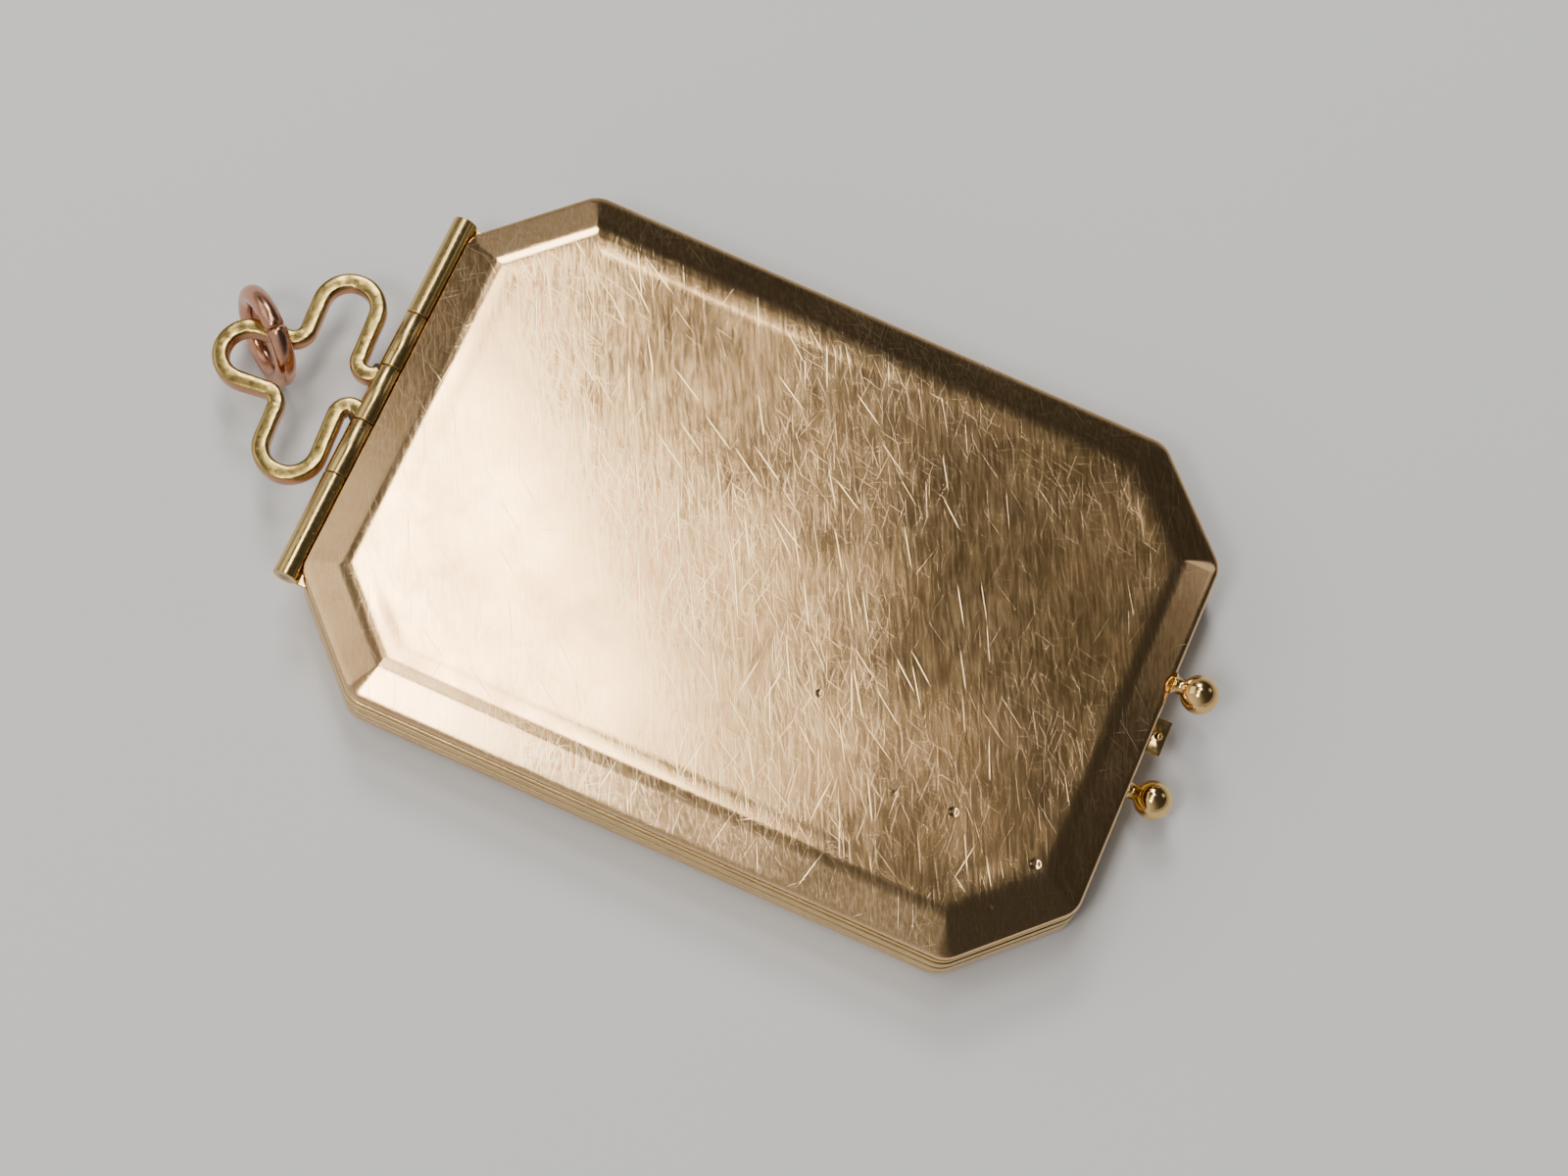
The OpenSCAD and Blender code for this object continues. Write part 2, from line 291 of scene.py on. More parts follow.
def hammered_gold():
    """Bail wire, hammered with pits; painted light colours it by which way it faces, yellow on top and
    copper brown on its sides.
    """
    s = Shader("hammered_gold")
    place = s.stretch((1.5, 1.5, 1.5), 0.0, 3.0)
    cell = s.add("ShaderNodeTexVoronoi", {"Vector": place, "Scale": 1.0},
                 feature="SMOOTH_F1").outputs["Distance"]
    grit = s.noise(s.stretch((3.6, 3.6, 3.6)), 1.0, 5.0, 0.75)
    pits = s.span(grit, 0.60, 0.72)
    # Painted light: the colour follows which way the surface faces, not the metal.
    facing = s.add("ShaderNodeSeparateXYZ", {
        "Vector": s.add("ShaderNodeNewGeometry").outputs["Normal"]}).outputs["Z"]
    painted_facing_share = s.span(s.math("ABSOLUTE", facing), 0.35, 0.80)
    colour = s.mix(painted_facing_share, rgb(0.50, 0.24, 0.12), rgb(0.46, 0.33, 0.11))
    colour = s.mix(s.math("MULTIPLY", pits, 0.65), colour, rgb(0.20, 0.11, 0.05))
    s.set(Base_Color=colour, Metallic=1.0, Roughness=s.span(grit, 0.35, 0.7, 0.17, 0.28),
          Normal=s.bump(grit, 0.10, 0.015, s.bump(cell, 0.15, 0.07)))
    return s.material


def solder_grey():
    """Grey solder, matte and lumpy."""
    s = Shader("solder_grey")
    lumps = s.noise(s.stretch((2.5, 2.5, 2.5)), 1.0, 6.0, 0.75)
    s.set(Base_Color=s.mix(lumps, rgb(0.05, 0.045, 0.04), rgb(0.20, 0.17, 0.15)), Metallic=0.8,
          Roughness=s.span(lumps, 0.3, 0.7, 0.38, 0.6), Normal=s.bump(lumps, 0.6, 0.08))
    return s.material


def silvered_glass():
    """Old mirror glass: bright, with brown foxing spots and fine wipe marks."""
    s = Shader("silvered_glass")
    fox = s.noise(s.stretch((0.5, 0.5, 0.5), 0.0, 6.0), 1.0, 7.0, 0.75)
    spots = s.span(fox, 0.66, 0.74)
    wipes = s.noise(s.stretch((0.05, 1.2, 1.2), 28.0), 1.0, 4.0, 0.6)
    s.set(Base_Color=s.mix(spots, rgb(0.86, 0.88, 0.88), rgb(0.30, 0.20, 0.12)), Metallic=1.0,
          Roughness=s.math("ADD", s.math("MULTIPLY", spots, 0.35), s.span(wipes, 0.4, 0.8, 0.02, 0.09)),
          Normal=s.bump(spots, 0.2, -0.01), Coat_Weight=0.6, Coat_Roughness=0.03)
    return s.material


def pressed_powder():
    """Matte face powder with a soft crumbly grain."""
    s = Shader("pressed_powder")
    crumb = s.noise(s.stretch((5.0, 5.0, 5.0)), 1.0, 6.0, 0.75)
    cloud = s.noise(s.stretch((0.12, 0.12, 0.12)), 1.0, 3.0)
    tone = s.math("ADD", s.math("MULTIPLY", crumb, 0.4), s.math("MULTIPLY", cloud, 0.6))
    s.set(Base_Color=s.mix(tone, rgb(0.62, 0.40, 0.30), rgb(0.88, 0.68, 0.56)), Roughness=0.95,
          Normal=s.bump(crumb, 0.5, 0.06), Sheen_Weight=0.25, Sheen_Roughness=0.6)
    return s.material


def velour_pile():
    """Short cotton pile with lighter tips, flattened streaks and patches of powder."""
    s = Shader("velour_pile")
    pile = s.noise(s.stretch((9.0, 9.0, 9.0)), 1.0, 5.0, 0.8)
    nap = s.noise(s.stretch((0.25, 0.7, 0.7), 35.0, 2.0), 1.0, 3.0, 0.6)
    dusted = s.span(s.noise(s.stretch((0.14, 0.14, 0.14), 0.0, 21.0), 1.0, 5.0, 0.7), 0.48, 0.66)
    tone = s.math("ADD", s.math("MULTIPLY", pile, 0.75), s.math("MULTIPLY", nap, 0.25))
    colour = s.mix(s.span(tone, 0.30, 0.68), rgb(0.66, 0.44, 0.37), rgb(0.98, 0.85, 0.78))
    colour = s.mix(s.math("MULTIPLY", dusted, 0.30), colour, rgb(0.88, 0.66, 0.52))
    s.set(Base_Color=colour, Roughness=1.0,
          Normal=s.bump(pile, 1.0, 0.14, s.bump(nap, 0.6, 0.25)), Sheen_Weight=0.5, Sheen_Roughness=0.4)
    return s.material


def backing_card():
    """Grey-brown paper board with fibres."""
    s = Shader("backing_card")
    fibre = s.noise(s.stretch((0.5, 4.0, 4.0), 15.0), 1.0, 6.0, 0.7)
    s.set(Base_Color=s.mix(fibre, rgb(0.20, 0.16, 0.12), rgb(0.38, 0.32, 0.25)), Roughness=0.9,
          Normal=s.bump(fibre, 0.5, 0.04))
    return s.material


def floor_paint():
    """Plain pale table."""
    s = Shader("floor_paint")
    soft = s.noise(s.stretch((0.02, 0.02, 0.02)), 1.0, 3.0)
    s.set(Base_Color=s.mix(soft, rgb(0.76, 0.76, 0.77), rgb(0.81, 0.81, 0.81)), Roughness=0.85)
    return s.material


# The band's stretches as (from, to, inset), the first two as shares of its height.
# Its grooves and the seam above it, as heights in mm, are darkened with painted shade.
BAND_STRETCHES = [(0.0, 0.05, GROOVE), (0.05, 0.32, 0.0), (0.32, 0.45, GROOVE),
                  (0.45, 0.77, 0.0), (0.77, 0.83, GROOVE), (0.83, 1.0, 0.06)]
BAND_GROOVES = [(BAND_Z + low * (SEAM_Z - BAND_Z), BAND_Z + high * (SEAM_Z - BAND_Z))
                for low, high, inset in BAND_STRETCHES if inset == GROOVE]
# The seam between band and cover: painted shade on the lining seen through it.
BAND_GROOVES.append((SEAM_Z + 0.06, LIP_Z + 0.02))

MATERIALS = {
    "rose": rolled_gold("rose_gold", (1.0, 0.76, 0.47), (0.74, 0.47, 0.22), (0.38, 0.20, 0.09),
                        0.135),
    "yellow": worn_metal("yellow_gold", (0.66, 0.47, 0.18), (0.26, 0.13, 0.07), 0.19, dirt=0.4),
    "band": worn_metal("band_gold", (0.84, 0.58, 0.22), (0.07, 0.03, 0.035), 0.19, dirt=0.25,
                       grooves=BAND_GROOVES),
    "bail": hammered_gold(),
    "ball": worn_metal("ball_gold", (0.82, 0.56, 0.23), (0.36, 0.17, 0.08), 0.10, dirt=0.3),
    "copper": worn_metal("copper_gold", (0.60, 0.31, 0.20), (0.24, 0.10, 0.06), 0.17, dirt=0.5),
    "pin": worn_metal("pin_steel", (0.34, 0.29, 0.25), (0.10, 0.07, 0.05), 0.42),
    "solder": solder_grey(),
    "tray": worn_metal("tray_metal", (0.80, 0.78, 0.74), (0.45, 0.40, 0.34), 0.30),
    "mirror": silvered_glass(),
    "powder": pressed_powder(),
    "velour": velour_pile(),
    "card": backing_card(),
    "floor": floor_paint(),
}


# ---------------------------------------------------------------- mesh helpers

def piece(name, verts, faces, body, material, replaced=()):
    """A mesh object from points in millimetres, riding on a body."""
    mesh = bpy.data.meshes.new(name)
    mesh.from_pydata([[c * MM for c in v] for v in verts], [], faces)
    bm = bmesh.new()
    bm.from_mesh(mesh)
    bmesh.ops.remove_doubles(bm, verts=bm.verts, dist=1e-7)
    bmesh.ops.recalc_face_normals(bm, faces=bm.faces)
    bm.to_mesh(mesh)
    bm.free()
    mesh.shade_smooth()
    mesh.materials.append(MATERIALS[material])
    obj = bpy.data.objects.new(name, mesh)
    bpy.context.scene.collection.objects.link(obj)
    obj.modifiers.new("even_normals", "WEIGHTED_NORMAL").keep_sharp = True
    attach(obj, body)
    if replaced:
        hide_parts(*replaced)
    return obj


def loft(rings, closed=False):
    """Points and faces of a skin through equal rings; its ends are fans, or joined if closed."""
    count = len(rings[0])
    verts = [v for ring in rings for v in ring]
    faces = []
    for i in range(len(rings) - (0 if closed else 1)):
        low, high = i * count, (i + 1) % len(rings) * count
        for j in range(count):
            k = (j + 1) % count
            faces.append((low + j, low + k, high + k, high + j))
    if not closed:
        for start in (0, (len(rings) - 1) * count):
            ring = verts[start:start + count]
            verts.append([sum(c) / count for c in zip(*ring)])
            faces += [(start + j, start + (j + 1) % count, len(verts) - 1) for j in range(count)]
    return verts, faces


def join(*parts):
    """Several (points, faces) pairs as one."""
    verts, faces = [], []
    for part_verts, part_faces in parts:
        base = len(verts)
        verts += part_verts
        faces += [tuple(base + i for i in face) for face in part_faces]
    return verts, faces


def rounded(points, radius, steps, closed=False):
    """A polyline with each bend rounded in some steps."""
    points = [Vector(p) for p in points]
    result = [] if closed else [points[0]]
    bends = range(len(points)) if closed else range(1, len(points) - 1)
    for i in bends:
        bend, before, after = points[i], points[i - 1], points[(i + 1) % len(points)]
        start = bend + (before - bend).normalized() * min(radius, (before - bend).length * 0.45)
        end = bend + (after - bend).normalized() * min(radius, (after - bend).length * 0.45)
        for j in range(steps + 1):
            t = j / steps
            result.append((1 - t) ** 2 * start + 2 * t * (1 - t) * bend + t * t * end)
    return result if closed else result + [points[-1]]


def reach(k, inset):
    """Distance of side k of the eight-sided outline from the centre."""
    if k % 2:
        return (HALF_L + HALF_W - CORNER_CUT) / math.sqrt(2) - inset
    return (HALF_W if k % 4 else HALF_L) - inset


def outline(inset, corner_steps=7, side_steps=9):
    """Points of the outline set in by a distance, with rounded corners."""
    r = max(CORNER_R - inset, 0.25)
    arcs = []
    for k in range(8):
        side, middle = math.radians(45 * k), math.radians(45 * k + 22.5)
        along = (reach(k + 1, inset) - reach(k, inset) * math.cos(math.pi / 4)) / math.sin(math.pi / 4)
        corner = Vector((reach(k, inset) * math.cos(side) - along * math.sin(side),
                         reach(k, inset) * math.sin(side) + along * math.cos(side)))
        centre = corner - r / math.cos(math.pi / 8) * Vector((math.cos(middle), math.sin(middle)))
        turns = [side + math.pi / 4 * j / corner_steps for j in range(corner_steps + 1)]
        arcs.append([centre + r * Vector((math.cos(a), math.sin(a))) for a in turns])
    points = []
    for k, arc in enumerate(arcs):
        following = arcs[(k + 1) % 8][0]
        points += arc
        points += [arc[-1].lerp(following, j / side_steps) for j in range(1, side_steps)]
    return points


def at_height(points, z):
    return [(p[0], p[1], z) for p in points]


def clear_of_barrel(verts):
    """Points pushed out of the round channel along the hinge axis."""
    moved = []
    for x, y, z in verts:
        gap = Vector((x - HINGE_X, z - HINGE_Z))
        if gap.length < CHANNEL_R:
            gap = gap.normalized() * CHANNEL_R
        moved.append((HINGE_X + gap.x, y, HINGE_Z + gap.y))
    return moved


def hoop(profile, radius):
    """A closed hoop round the case from a closed profile of (inset, z) points."""
    rings = [at_height(outline(p[0]), p[1]) for p in rounded(profile, radius, 3, True)]
    return loft(rings, closed=True)


# ---------------------------------------------------------------- shells

# Rounding of the worn folds, and the rings across a flat panel as shares of its outline
FOLD_R = 0.45
PANEL_SHARES = [0.985, 0.96, 0.92, 0.86, 0.78, 0.69, 0.60, 0.51, 0.42, 0.33, 0.24, 0.15, 0.07]


def panel_shape(x, y, side):
    """Slow inward sway of a worn flat panel, in millimetres."""
    sway = 0.03 * (noise.noise((x * 0.11, y * 0.11, 4.0 * side)) - 1.0)
    return sway * max(0.0, 1.0 - max(abs(x) / (HALF_L - BEVEL_W), abs(y) / (HALF_W - BEVEL_W)) ** 6)


def shell(outer, inner, panel_z, side):
    """A stamped shell: the panel's outside, the bevel, the edge, and the inside."""
    profile = rounded(outer + inner, FOLD_R, 6)
    rings = [at_height(outline(p[0]), p[1]) for p in profile]
    face = [[(p.x * share, p.y * share, panel_z + panel_shape(p.x * share, p.y * share, side))
             for p in outline(outer[0][0])] for share in reversed(PANEL_SHARES)]
    lining = [[(x * share, y * share, z) for x, y, z in rings[-1]] for share in PANEL_SHARES]
    return loft(face + rings + lining)


def cover_shell():
    lip_top = TOP_Z - BEVEL_H
    outer = [(BEVEL_W + 1.0, TOP_Z), (BEVEL_W, TOP_Z), (0.10, lip_top + 0.04), (0.0, lip_top - 0.12),
             (0.0, LIP_Z + 0.05), (0.12, LIP_Z)]
    inner = [(SHEET, LIP_Z), (SHEET, lip_top - 0.2), (BEVEL_W + 0.15, TOP_Z - SHEET),
             (BEVEL_W + 0.9, TOP_Z - SHEET)]
    verts, faces = shell(outer, inner, TOP_Z, 1.0)
    piece("cover_outer", clear_of_barrel(verts), faces, "cover", "rose", ["cover_shell"])


def back_shell():
    outer = [(BEVEL_W + 1.0, 0.0), (BEVEL_W, 0.0), (0.0, BEVEL_H), (0.0, BAND_Z - 0.05), (0.08, BAND_Z)]
    inner = [(SHEET, BAND_Z), (SHEET, BEVEL_H + 0.2), (BEVEL_W + 0.15, SHEET), (BEVEL_W + 0.9, SHEET)]
    verts, faces = shell(outer, inner, 0.0, -1.0)
    verts = [(x, y, max(z, 0.0)) for x, y, z in verts]
    piece("back_outer", verts, faces, "base", "rose", ["back_shell"])


def side_band():
    """The reeded band: two broad reeds, fine grooves and a bead under the seam."""
    height = SEAM_Z - BAND_Z
    profile = []
    for low, high, inset in BAND_STRETCHES:
        profile += [(inset, BAND_Z + low * height), (inset, BAND_Z + high * height)]
    profile += [(BAND_WALL, SEAM_Z), (BAND_WALL, BAND_Z)]
    verts, faces = hoop(profile, 0.07)
    piece("reeded_band", clear_of_barrel(verts), faces, "base", "band", ["side_band"])


# ---------------------------------------------------------------- hinge

def lathe(profile, steps=40, squeeze=None):
    """Rings about the Y axis from (y, radius) points."""
    rings = []
    for y, r in profile:
        ring = []
        for j in range(steps):
            a = 2 * math.pi * j / steps
            reach_r = r if squeeze is None else r * squeeze(a)
            ring.append((reach_r * math.cos(a), y, reach_r * math.sin(a)))
        rings.append(ring)
    return rings


def slab(low, high, edge):
    """A box with chamfered edges."""
    bm = bmesh.new()
    bmesh.ops.create_cube(bm, size=1.0)
    size = [h - l for l, h in zip(low, high)]
    for v in bm.verts:
        v.co = Vector([l + s * (c + 0.5) for l, s, c in zip(low, size, v.co)])
    bmesh.ops.bevel(bm, geom=bm.edges[:], offset=edge, segments=2, affect="EDGES")
    part = [tuple(v.co) for v in bm.verts], [tuple(v.index for v in f.verts) for f in bm.faces]
    bm.free()
    return part


def rolled_seam(a):
    """The open joint of a rolled tube, as a dip in its radius."""
    return 1.0 - 0.09 * math.exp(-((a - math.radians(205.0)) / 0.09) ** 2)


def knuckle(low, high, leaf_z):
    """A rolled tube about the hinge axis with its leaf."""
    edge = 0.07
    outside = [(low, BARREL_R - edge), (low + edge * 0.4, BARREL_R - edge * 0.3), (low + edge, BARREL_R),
               (high - edge, BARREL_R), (high - edge * 0.4, BARREL_R - edge * 0.3),
               (high, BARREL_R - edge)]
    rings = lathe([(low, BORE_R)] + outside + [(high, BORE_R)], 48, rolled_seam)
    tube_verts, tube_faces = loft(rings, closed=True)
    tube = [(HINGE_X + x, y, HINGE_Z + z) for x, y, z in tube_verts], tube_faces
    leaf = slab((HINGE_X + BARREL_R * 0.7, low + 0.03, leaf_z),
                (HINGE_X + LEAF_L, high - 0.03, leaf_z + LEAF_T), 0.03)
    return join(tube, leaf)


def hinge():
    for node in ("end_knuckle_right", "end_knuckle_left", "centre_knuckle"):
        low, high = box_mm(node)
        verts, faces = knuckle(low.y, high.y, SEAM_Z)
        piece(node + "_tube", verts, faces, "base", "yellow", [node])
    low, high = box_mm("cover_knuckles")
    centre_low, centre_high = box_mm("centre_knuckle")
    gap = 0.04
    halves = [knuckle(low.y, centre_low.y - gap, LIP_Z - LEAF_T),
              knuckle(centre_high.y + gap, high.y, LIP_Z - LEAF_T)]
    verts, faces = join(*halves)
    piece("cover_tubes", verts, faces, "cover", "yellow", ["cover_knuckles"])
    low, high = box_mm("hinge_pin")
    r = (high.x - low.x) / 2
    dome = [(low.y, r * 0.3), (low.y + 0.03, r * 0.8), (low.y + 0.10, r)]
    rings = lathe(dome + [(high.y - 0.10, r), (high.y - 0.03, r * 0.8), (high.y, r * 0.3)], 24)
    verts, faces = loft(rings)
    piece("hinge_pin_rod", [(HINGE_X + x, y, HINGE_Z + z) for x, y, z in verts], faces,
          "base", "pin", ["hinge_pin"])


# ---------------------------------------------------------------- bail and ring

FOOT = (0.95, 1.75, 0.75)
LOBE = (3.3, 4.3, 1.6)
NECK = (5.75, 2.45, 0.85)
LOOP = (7.35, 0.0, 1.6)
BAIL_TURN = Matrix.Rotation(math.radians(180.0 + BAIL_LEAN), 3, "Z") @ Matrix.Rotation(
    math.radians(BAIL_DROOP), 3, "Y")


def arc(circle, start, end, step=6.0):
    """Points along an arc as (point, left normal)."""
    x, y, r = circle
    count = math.ceil(abs(end - start) / step)
    sign = 1.0 if end > start else -1.0
    result = []
    for i in range(count + 1):
        a = math.radians(start + (end - start) * i / count)
        d = Vector((math.cos(a), math.sin(a)))
        result.append((Vector((x, y)) + r * d, -sign * d))
    return result


def bail_path():
    """The bail's centreline in its own plane: feet, side lobes, necks and top loop."""
    half = arc(FOOT, 215, 360) + arc(LOBE, 180, 0) + arc(NECK, 180, 270) + arc(LOOP, 90, 0)
    mirrored = [(Vector((p.x, -p.y)), Vector((n.x, -n.y))) for p, n in reversed(half[:-1])]
    return half + mirrored


def wire_section(steps=28, squareness=4.5):
    """A square with well rounded corners, as (across, up) between -1 and 1."""
    points = []
    for j in range(steps):
        a = 2 * math.pi * j / steps
        c, s = math.cos(a), math.sin(a)
        points.append((math.copysign(abs(c) ** (2 / squareness), c),
                       math.copysign(abs(s) ** (2 / squareness), s)))
    return points


def fine_path(path, step=0.18):
    """The path with long straight stretches cut up."""
    result = [path[0]]
    for point, normal in path[1:]:
        before, before_normal = result[-1]
        count = max(1, round((point - before).length / step))
        result += [(before.lerp(point, i / count), before_normal.lerp(normal, i / count))
                   for i in range(1, count + 1)]
    return result


def bail():
    rings = []
    for i, (point, normal) in enumerate(fine_path(bail_path())):
        sway = noise.noise((point.x * 0.9, point.y * 0.9, 2.0))
        across, up = BAIL_W / 2 * (1 + 0.05 * sway), BAIL_T / 2 * (0.96 - 0.04 * sway)
        ring = []
        for a, b in wire_section():
            place = point + normal * across * a
            beat = 0.03 * noise.noise((place.x * 1.6, place.y * 1.6, 5.0)) if b > 0.8 else 0.0
            local = Vector((place.x, place.y, up * b - abs(beat)))
            ring.append(tuple(Vector((HINGE_X, 0.0, HINGE_Z)) + BAIL_TURN @ local))
        rings.append(ring)
    verts, faces = loft(rings)
    piece("bail_wire", verts, faces, "base", "bail", ["bail"])


# Solder lumps at the bail's feet: place from the hinge axis, and half sizes
SOLDER_AT = (-0.60, 1.32, -0.06)
SOLDER_R = (0.42, 0.50, 0.40)


def solder_fillets():
    """A lump of solder round each foot of the bail, on the centre knuckle."""
    for side, name in ((1.0, "solder_right"), (-1.0, "solder_left")):
        centre = Vector((HINGE_X + SOLDER_AT[0], side * SOLDER_AT[1], HINGE_Z + SOLDER_AT[2]))
        rings = []
        for i in range(1, 14):
            polar = math.pi * i / 14
            ring = []
            for j in range(24):
                a = 2 * math.pi * j / 24
                d = Vector((math.sin(polar) * math.cos(a), math.sin(polar) * math.sin(a), math.cos(polar)))
                lump = 1.0 + 0.22 * noise.noise(d * 2.2 + Vector((side * 3.0, 0.0, 0.0)))
                ring.append(tuple(centre + Vector([r * c for r, c in zip(SOLDER_R, d)]) * lump))
            rings.append(ring)
        verts, faces = loft(rings)
        piece(name, verts, faces, "base", "solder")


def jump_ring():
    """A split ring of round wire, standing on its edge through the bail's top loop."""
    low, high = box_mm("jump_ring")
    centre = (low + high) / 2
    turn, lean = math.radians(RING_TURN), math.radians(RING_LEAN)
    split, gap = math.radians(SPLIT_AT), math.radians(SPLIT_GAP)
    steps = 110
    mid_r = (high.z - low.z - RING_WIRE) / 2 / math.cos(lean)
    level = Vector((math.sin(turn), -math.cos(turn), 0.0))
    square = Vector((math.cos(turn) * math.cos(lean), math.sin(turn) * math.cos(lean),
                     -math.sin(lean)))
    upright = level.cross(square).normalized()
    upright = upright if upright.z > 0.0 else -upright
    rings = []
    for i in range(steps + 1):
        a = split + gap / 2 + (2 * math.pi - gap) * i / steps
        outward = level * math.cos(a) + upright * math.sin(a)
        ends = min(i, steps - i)
        r = RING_WIRE / 2 * (0.93 if ends == 0 else 1.0)
        spine = centre + outward * mid_r + square * SPLIT_OFFSET * (i / steps - 0.5)
        ring = []
        for j in range(28):
            b = 2 * math.pi * j / 28
            ring.append(tuple(spine + (outward * math.cos(b) + square * math.sin(b)) * r))
        rings.append(ring)
    verts, faces = loft(rings)
    piece("split_ring", verts, faces, "ring", "copper", ["jump_ring"])


# ---------------------------------------------------------------- catch

def thumb_ball(node, body):
    """A ball on a stem with a small flared collar at the wall."""
    low, high = box_mm(node)
    y, z = (low.y + high.y) / 2, (low.z + high.z) / 2
    wall, middle = HALF_L, HALF_L + BALL_OUT
    start = math.acos(STEM_R / BALL_R)
    profile = [(wall - 0.02, 0.30), (wall - 0.02, STEM_R + 0.22), (wall + 0.05, STEM_R + 0.14),
               (wall + 0.14, STEM_R + 0.02), (wall + 0.24, STEM_R)]
    steps = 26
    for i in range(steps + 1):
        angle = (math.pi / 2 + start) * (1 - i / steps)
        profile.append((middle + BALL_R * math.cos(angle), max(BALL_R * math.sin(angle), 0.01)))
    verts, faces = loft(lathe(profile, 48))
    piece(node + "_bead", [(along, y + x, z + up) for x, along, up in verts], faces,
          body, "ball", [node])


# ---------------------------------------------------------------- powder and puff

# The cake's stamp and wear, in mm: size of a weave square, pitch and depth of its reeds,
# middle and depth of the worn hollow
WEAVE, REED, STAMP = 2.2, 0.55, 0.05
HOLLOW_AT, HOLLOW_DEPTH = (3.0, -2.0), 0.30


def powder_cake():
    """Pressed powder with a basket-weave stamp, worn into a shallow hollow."""
    low, high = box_mm("powder_cake")
    inset = HALF_L - high.x
    rim = outline(inset, 8, 44)
    rings = [at_height(rim, low.z), at_height(rim, high.z - 0.06)]
    shares = [1.0 - 0.012 * i for i in range(1, 80)]
    for share in [0.997] + shares:
        ring = []
        for p in rim:
            x, y = p.x * share, p.y * share
            cell_x, cell_y = math.floor(x / WEAVE), math.floor(y / WEAVE)
            along = x if (cell_x + cell_y) % 2 else y
            stamp = STAMP * abs(math.sin(along * math.pi / REED))
            wear = math.exp(-((x - HOLLOW_AT[0]) ** 2 / 60.0 + (y - HOLLOW_AT[1]) ** 2 / 30.0))
            z = high.z - 0.02 - stamp * (1 - wear) - HOLLOW_DEPTH * wear
            z -= 0.02 * noise.noise((x, y, 0.0))
            ring.append((x, y, min(z, high.z)))
        rings.append(ring)
    verts, faces = loft(rings)
    piece("pressed_powder_cake", verts, faces, "base", "powder", ["powder_cake"])


# The puff, in mm: room kept for its swelling, the most that swelling may move a point,
# and how much larger than life the cloth is simulated
PUFF_ROOM = 0.12
SWELL_CAP = 0.30
SIM_SCALE = 40.0


def puff_pad(low, high):
    """Points and faces of a rounded pad between two heights."""
    inset = HALF_L - high.x
    middle, half = (low.z + high.z) / 2, (high.z - low.z) / 2 - PUFF_ROOM
    rings = []
    for i in range(1, 18):
        a = math.pi * i / 18
        bulge = math.sin(a) ** 0.35
        z = middle - half * math.cos(a)
        rim = outline(inset + PUFF_ROOM, 6, 8)
        rings.append(at_height([p * (0.80 + 0.20 * bulge) for p in rim], z))
    return loft(rings)


def simulate(obj):
    """Swells the pad by cloth simulation at a larger scale, then applies the result."""
    before = [v.co.copy() for v in obj.data.vertices]
    for v in obj.data.vertices:
        v.co *= SIM_SCALE
    cloth = obj.modifiers.new("cloth", "CLOTH")
    cloth.settings.use_pressure = True
    cloth.settings.uniform_pressure_force = 4.0
    cloth.settings.effector_weights.gravity = 0.0
    cloth.settings.quality = 8
    scene = bpy.context.scene
    for number in range(1, 21):
        scene.frame_set(number)
    depsgraph = bpy.context.evaluated_depsgraph_get()
    swollen = [v.co / SIM_SCALE for v in obj.evaluated_get(depsgraph).data.vertices]
    obj.modifiers.remove(cloth)
    for v, start, end in zip(obj.data.vertices, before, swollen):
        shift = end - start
        v.co = start + shift.normalized() * min(shift.length, SWELL_CAP * MM)
    scene.frame_set(1)


def powder_puff():
    """A velour puff: a simulated pad with a sewn edge seam."""
    low, high = box_mm("powder_puff")
    verts, faces = puff_pad(low, high)
    obj = piece("velour_puff", verts, faces, "base", "velour", ["powder_puff"])
    obj.modifiers.clear()
    bpy.context.view_layer.objects.active = obj
    remesh = obj.modifiers.new("remesh", "REMESH")
    remesh.mode = "VOXEL"
    remesh.voxel_size = 0.32 * MM
    bake_modifiers(obj)
    simulate(obj)
    middle = (low.z + high.z) / 2
    for v in obj.data.vertices:
        x, y, z = v.co / MM
        tuft = 0.05 * noise.noise((x * 0.8, y * 0.8, z * 0.8))
        tuft += 0.03 * noise.noise((x * 3.0, y * 3.0, z * 3.0))
        seam = 0.10 * math.exp(-((z - middle) / 0.14) ** 2)
        out = Vector((x, y, 0.0)).normalized()
        x, y = x - out.x * (seam + tuft), y - out.y * (seam + tuft)
        v.co = Vector((x, y, min(max(z + tuft * (1 if z > middle else 0), low.z), high.z))) * MM
    smooth = obj.modifiers.new("finer", "SUBSURF")
    smooth.levels = smooth.render_levels = 1
    bake_modifiers(obj)
    obj.data.shade_smooth()
    obj.data.materials.clear()
    obj.data.materials.append(MATERIALS["velour"])


def bake_modifiers(obj):
    """Replaces the mesh by its evaluated one and clears the modifiers."""
    depsgraph = bpy.context.evaluated_depsgraph_get()
    mesh = bpy.data.meshes.new_from_object(obj.evaluated_get(depsgraph))
    obj.modifiers.clear()
    obj.data = mesh


# ---------------------------------------------------------------- carried-over CAD nodes

CAD_FINISH = {
    "catch_tongue": "ball", "powder_pan": "tray", "pan_frame": "yellow", "cover_lining": "band",
    "mirror_glass": "mirror", "mirror_card": "card", "mirror_bezel": "yellow", "catch_keeper": "yellow"}


def finish_cad_nodes():
    """Materials and softened edges for the CAD nodes that stay in view."""
    for node, material in CAD_FINISH.items():
        obj = frame["nodes"][node]
        obj.data.materials.clear()
        obj.data.materials.append(MATERIALS[material])
        obj.modifiers.new("weld", "WELD").merge_threshold = 1e-6
        bevel = obj.modifiers.new("bevel", "BEVEL")
        bevel.width = 0.04 * MM
        bevel.segments = 2
        bevel.limit_method = "ANGLE"
        bevel.angle_limit = math.radians(35.0)
        obj.modifiers.new("even_normals", "WEIGHTED_NORMAL")


# ---------------------------------------------------------------- floor and light

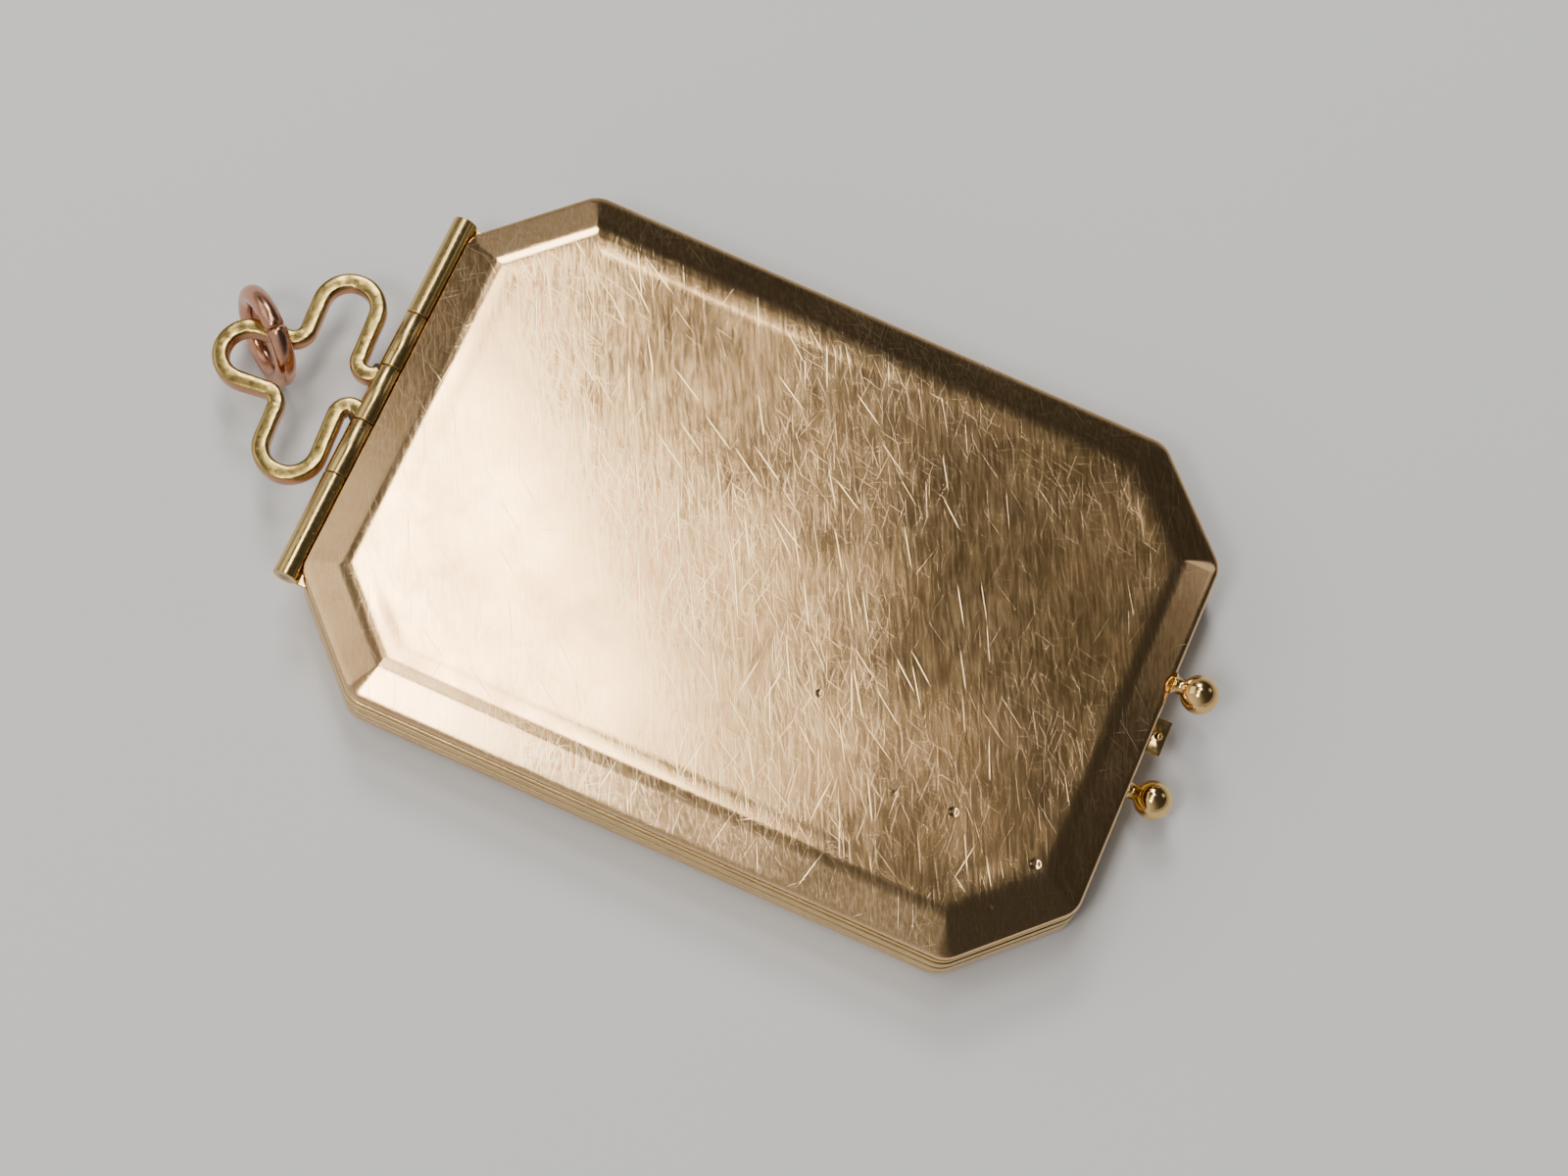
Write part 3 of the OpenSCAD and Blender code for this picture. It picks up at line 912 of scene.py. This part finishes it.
def make_floor():
    """A wide flat floor a hair below the case."""
    mesh = bpy.data.meshes.new("floor")
    size = 1.5
    corners = [(-size, -size, 0), (size, -size, 0), (size, size, 0), (-size, size, 0)]
    mesh.from_pydata(corners, [], [(0, 1, 2, 3)])
    mesh.materials.append(MATERIALS["floor"])
    floor = bpy.data.objects.new("floor", mesh)
    floor.location.z = -0.00002
    bpy.context.scene.collection.objects.link(floor)


def softbox(name, place, size, power, along=(1.0, 0.0, 0.0), colour=(1.0, 1.0, 1.0)):
    """A rectangular lamp aimed at the case, its second side lying along a direction."""
    data = bpy.data.lights.new(name, "AREA")
    data.shape = "RECTANGLE"
    data.size, data.size_y = size
    data.energy = power
    data.color = colour
    light = bpy.data.objects.new(name, data)
    back = Vector(place).normalized()
    side = Vector(along).cross(back).normalized()
    light.matrix_world = Matrix.Translation(place) @ Matrix(
        (side, back.cross(side), back)).transposed().to_4x4()
    bpy.context.scene.collection.objects.link(light)


# Studio walls: the way to the bright wall, and (place, light) from the far side to that wall
WALL_TOWARDS = (-0.55, -0.75, 0.0)
WALL_STOPS = [(0.0, 0.035), (0.50, 0.07), (0.64, 0.18), (1.0, 0.95)]

# A pale horizon: two heights, and the light up to the first and above the second
HORIZON = (0.20, 0.41, 0.45, 0.0)


def make_light():
    """The lamps, and a world of dim walls with a pale horizon."""
    warm = (1.0, 0.97, 0.92)
    softbox("key", (-0.095, 0.160, 0.560), (0.070, 0.144), 0.60, (1.0, -1.0, 0.0), (1.0, 0.95, 0.84))
    softbox("back", (-0.210, 0.330, 0.456), (0.16, 0.16), 1.05)
    softbox("top", (-0.130, -0.055, 0.580), (0.11, 0.25), 0.55, (0.0, 1.0, 0.0), warm)
    softbox("left", (-0.440, -0.020, 0.330), (0.30, 0.40), 0.42, (0.0, 1.0, 0.0), warm)
    softbox("front", (-0.125, -0.285, 0.550), (0.13, 0.10), 0.95, (1.0, 0.0, 0.0), warm)
    softbox("behind", (-0.300, 0.390, 0.330), (0.30, 0.22), 0.07)
    softbox("corner", (0.370, 0.310, 0.350), (0.16, 0.16), 0.06)
    world = bpy.data.worlds.new("studio")
    world.use_nodes = True
    tree = world.node_tree
    place = tree.nodes.new("ShaderNodeTexCoord")
    towards = tree.nodes.new("ShaderNodeVectorMath")
    towards.operation = "DOT_PRODUCT"
    towards.inputs[1].default_value = WALL_TOWARDS
    centred = tree.nodes.new("ShaderNodeMath")
    centred.operation = "MULTIPLY_ADD"
    centred.inputs[1].default_value = 0.5
    centred.inputs[2].default_value = 0.5
    ramp = tree.nodes.new("ShaderNodeValToRGB")
    stops = ramp.color_ramp.elements
    while len(stops) < len(WALL_STOPS):
        stops.new(0.5)
    for stop, (position, level) in zip(stops, WALL_STOPS):
        stop.position = position
        stop.color = rgb(level, level, level * 1.02)
    tree.links.new(place.outputs["Generated"], towards.inputs[0])
    tree.links.new(towards.outputs["Value"], centred.inputs[0])
    tree.links.new(centred.outputs[0], ramp.inputs[0])
    split = tree.nodes.new("ShaderNodeSeparateXYZ")
    horizon = tree.nodes.new("ShaderNodeMapRange")
    horizon.interpolation_type = "SMOOTHSTEP"
    for key, value in zip(("From Min", "From Max", "To Min", "To Max"), HORIZON):
        horizon.inputs[key].default_value = value
    brighter = tree.nodes.new("ShaderNodeMath")
    brighter.operation = "MAXIMUM"
    tree.links.new(place.outputs["Generated"], split.inputs[0])
    tree.links.new(split.outputs["Z"], horizon.inputs["Value"])
    tree.links.new(horizon.outputs[0], brighter.inputs[0])
    tree.links.new(ramp.outputs[0], brighter.inputs[1])
    tree.links.new(brighter.outputs[0], tree.nodes["Background"].inputs[0])
    bpy.context.scene.world = world


make_camera()
cover_shell()
back_shell()
side_band()
hinge()
bail()
solder_fillets()
jump_ring()
thumb_ball("cover_ball", "cover")
thumb_ball("base_ball", "base")
powder_cake()
powder_puff()
finish_cad_nodes()
make_floor()
make_light()
